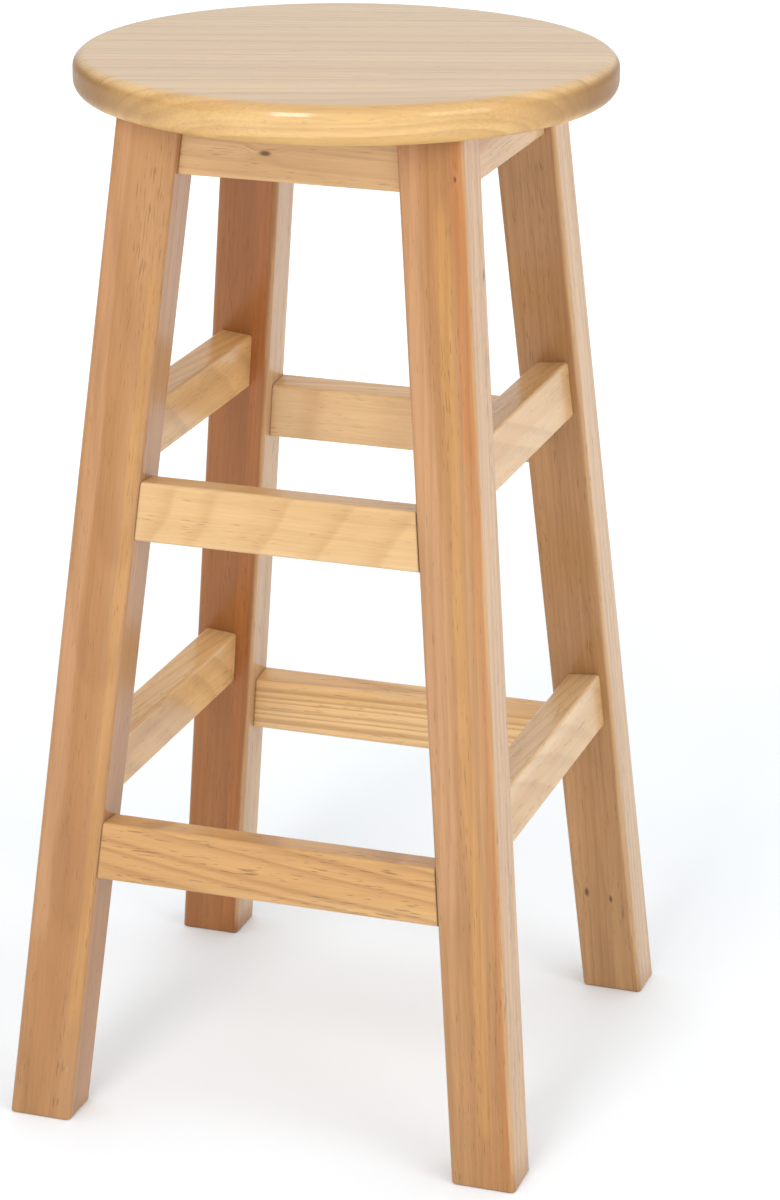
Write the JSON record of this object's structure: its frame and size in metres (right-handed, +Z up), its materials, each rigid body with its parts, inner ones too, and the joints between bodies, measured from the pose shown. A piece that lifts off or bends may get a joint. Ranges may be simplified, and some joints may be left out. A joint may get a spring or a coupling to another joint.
{
  "type": "bar stool",
  "caption": "Backless wooden stool with a round seat, four splayed legs, aprons, and two tiers of rungs to rest the feet on.",
  "frame": {"origin": "floor level, straight under the centre of the seat", "axes": "+Z up; the front rungs face -Y and the side rungs face -X and +X"},
  "size_m": [0.3038, 0.3038, 0.6],
  "materials": {
    "seat": "clear gloss lacquer",
    "leg": "clear satin lacquer",
    "apron": "clear satin lacquer",
    "rung": "clear satin lacquer",
    "block": "planed, no finish",
    "dowel": "plain",
    "screw": "zinc plated"
  },
  "bodies": {
    "root": {"seat_board_front": "seat", "seat_board_front_middle": "seat", "seat_board_back_middle": "seat", "seat_board_back": "seat", "leg_front_left": "leg", "leg_front_right": "leg", "leg_back_right": "leg", "leg_back_left": "leg", "apron_front": "apron", "apron_back": "apron", "apron_left": "apron", "apron_right": "apron", "rung_lower_front": "rung", "rung_lower_back": "rung", "rung_lower_left": "rung", "rung_lower_right": "rung", "rung_upper_front": "rung", "rung_upper_back": "rung", "rung_upper_left": "rung", "rung_upper_right": "rung", "corner_block_front_left": "block", "corner_block_front_right": "block", "corner_block_back_right": "block", "corner_block_back_left": "block", "apron_dowels": "dowel", "brace_screws": "screw", "seat_screws": "screw"}
  },
  "joints": []
}
